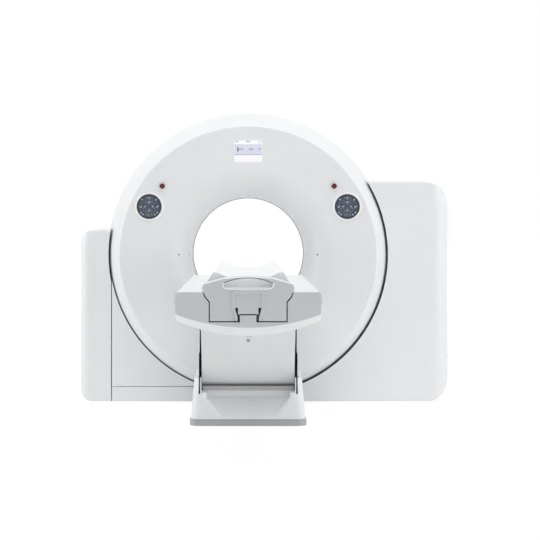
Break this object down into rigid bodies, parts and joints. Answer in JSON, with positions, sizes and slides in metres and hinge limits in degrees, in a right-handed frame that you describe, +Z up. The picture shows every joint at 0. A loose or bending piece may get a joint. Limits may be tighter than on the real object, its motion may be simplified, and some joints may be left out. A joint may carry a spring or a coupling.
{
  "type": "ct scanner",
  "caption": "Computed-tomography scanner: tilting ring gantry between fixed covers, with a lifting patient table and sliding cradle.",
  "frame": {"origin": "on the floor in the middle of the gantry's four anchor holes, under the isocentre", "axes": "+Z up, +Y along the patient axis from the table towards the back of the gantry, +X to the right seen from the table's foot end"},
  "size_m": [2.229, 2.943, 1.7478],
  "materials": {
    "cover_white": "satin painted moulding",
    "panel_grey": "satin moulding",
    "foot_grey": "satin moulding",
    "cradle_shell": "smooth composite skin",
    "apron_sheet": "flexible sheet",
    "keypad_dark": "membrane keypad",
    "display_lens": "printed lens",
    "window_dark": "tinted lens",
    "stop_red": "glossy",
    "seal_rubber": "matte",
    "frame_paint": "powder coat",
    "machined_steel": "machined",
    "rolled_aluminium": "anodised",
    "tube_housing": "gloss paint",
    "unit_box": "powder coat",
    "slip_tracks": "polished tracks",
    "belt_rubber": "ribbed"
  },
  "bodies": {
    "base": {"apron_bottom_bar": "panel_grey", "docking_plate": "frame_paint", "gantry_base_plate": "frame_paint", "left_cover": "cover_white", "left_panels": "cover_white", "left_stand": "frame_paint", "lift_columns_outer": "rolled_aluminium", "lift_drive": "unit_box", "plinths": "cover_white", "power_unit": "unit_box", "right_cover": "cover_white", "right_stand": "frame_paint", "table_base_cover": "cover_white", "table_base_plate": "frame_paint", "table_foot_strip": "foot_grey", "tilt_gearmotor": "unit_box", "trunnion_bearings": "machined_steel"},
    "gantry_ring": {"tilt_frame": "frame_paint", "left_trunnion": "machined_steel", "right_trunnion": "machined_steel", "front_cover": "cover_white", "rear_cover": "cover_white", "bore_liner": "cover_white", "rear_bore_seal": "seal_rubber", "keypads": "keypad_dark", "display_panel": "display_lens", "laser_windows": "window_dark", "control_housings": "unit_box", "bearing_outer_race": "machined_steel", "brush_block": "unit_box", "drive_motor": "unit_box", "drive_belt": "belt_rubber"},
    "left_stop": {"left_stop_button": "stop_red"},
    "right_stop": {"right_stop_button": "stop_red"},
    "rotor": {"bearing_inner_race": "machined_steel", "rotor_drum": "rolled_aluminium", "slip_ring": "slip_tracks", "xray_tube": "tube_housing", "collimator": "tube_housing", "detector_array": "unit_box", "hv_generators": "unit_box", "data_units": "unit_box", "tube_cooler": "rolled_aluminium", "counterweight": "frame_paint"},
    "pulley": {"drive_pulley": "machined_steel"},
    "table_middle": {"middle_shroud": "cover_white", "lift_columns_middle": "rolled_aluminium"},
    "table_top": {"lift_columns_inner": "rolled_aluminium", "table_frame": "frame_paint", "table_body_cover": "cover_white", "table_end_cover": "panel_grey", "upper_shroud": "cover_white", "front_apron": "apron_sheet", "guide_rail": "panel_grey", "glide_strips": "window_dark", "side_rails": "panel_grey"},
    "cradle_slide": {"cradle": "cradle_shell", "cradle_carriage": "rolled_aluminium", "cradle_end_cap": "panel_grey"},
    "grip": {"release_grip": "panel_grey"}
  },
  "joints": [
    {"name": "gantry_tilt", "type": "hinge", "parent": "base", "child": "gantry_ring", "pos_m": [0, 0, 0.886], "axis": [-1, 0, 0], "range_deg": [-30, 30]},
    {"name": "rotor_spin", "type": "hinge", "parent": "gantry_ring", "child": "rotor", "pos_m": [0, 0, 0.886], "axis": [0, 1, 0], "continuous": true},
    {"name": "pulley_spin", "type": "hinge", "parent": "gantry_ring", "child": "pulley", "pos_m": [0.47098, -0.04, 0.28317], "axis": [0, 1, 0], "continuous": true},
    {"name": "left_stop_press", "type": "slide", "parent": "gantry_ring", "child": "left_stop", "axis": [-0.0887, 0.9935, 0.0711], "range_m": [0, 0.004], "stiffness_N_per_m": 1500},
    {"name": "right_stop_press", "type": "slide", "parent": "gantry_ring", "child": "right_stop", "axis": [0.0887, 0.9935, 0.0711], "range_m": [0, 0.004], "stiffness_N_per_m": 1500},
    {"name": "table_lift", "type": "slide", "parent": "base", "child": "table_top", "axis": [0, 0, 1], "range_m": [-0.32, 0.05], "deforming": ["front_apron"]},
    {"name": "table_middle_lift", "type": "slide", "parent": "base", "child": "table_middle", "axis": [0, 0, 1], "range_m": [-0.16, 0.025]},
    {"name": "cradle_travel", "type": "slide", "parent": "table_top", "child": "cradle_slide", "axis": [0, 1, 0], "range_m": [0, 1.5]},
    {"name": "release_pull", "type": "hinge", "parent": "cradle_slide", "child": "grip", "pos_m": [0, -2.58, 0.656], "axis": [1, 0, 0], "range_deg": [0, 20], "stiffness_Nm_per_rad": 2, "springref_deg": -11.46}
  ],
  "couplings": [
    {"joint": "table_middle_lift", "follows": "table_lift", "ratio": 0.5},
    {"joint": "pulley_spin", "follows": "rotor_spin", "ratio": 17.5}
  ]
}
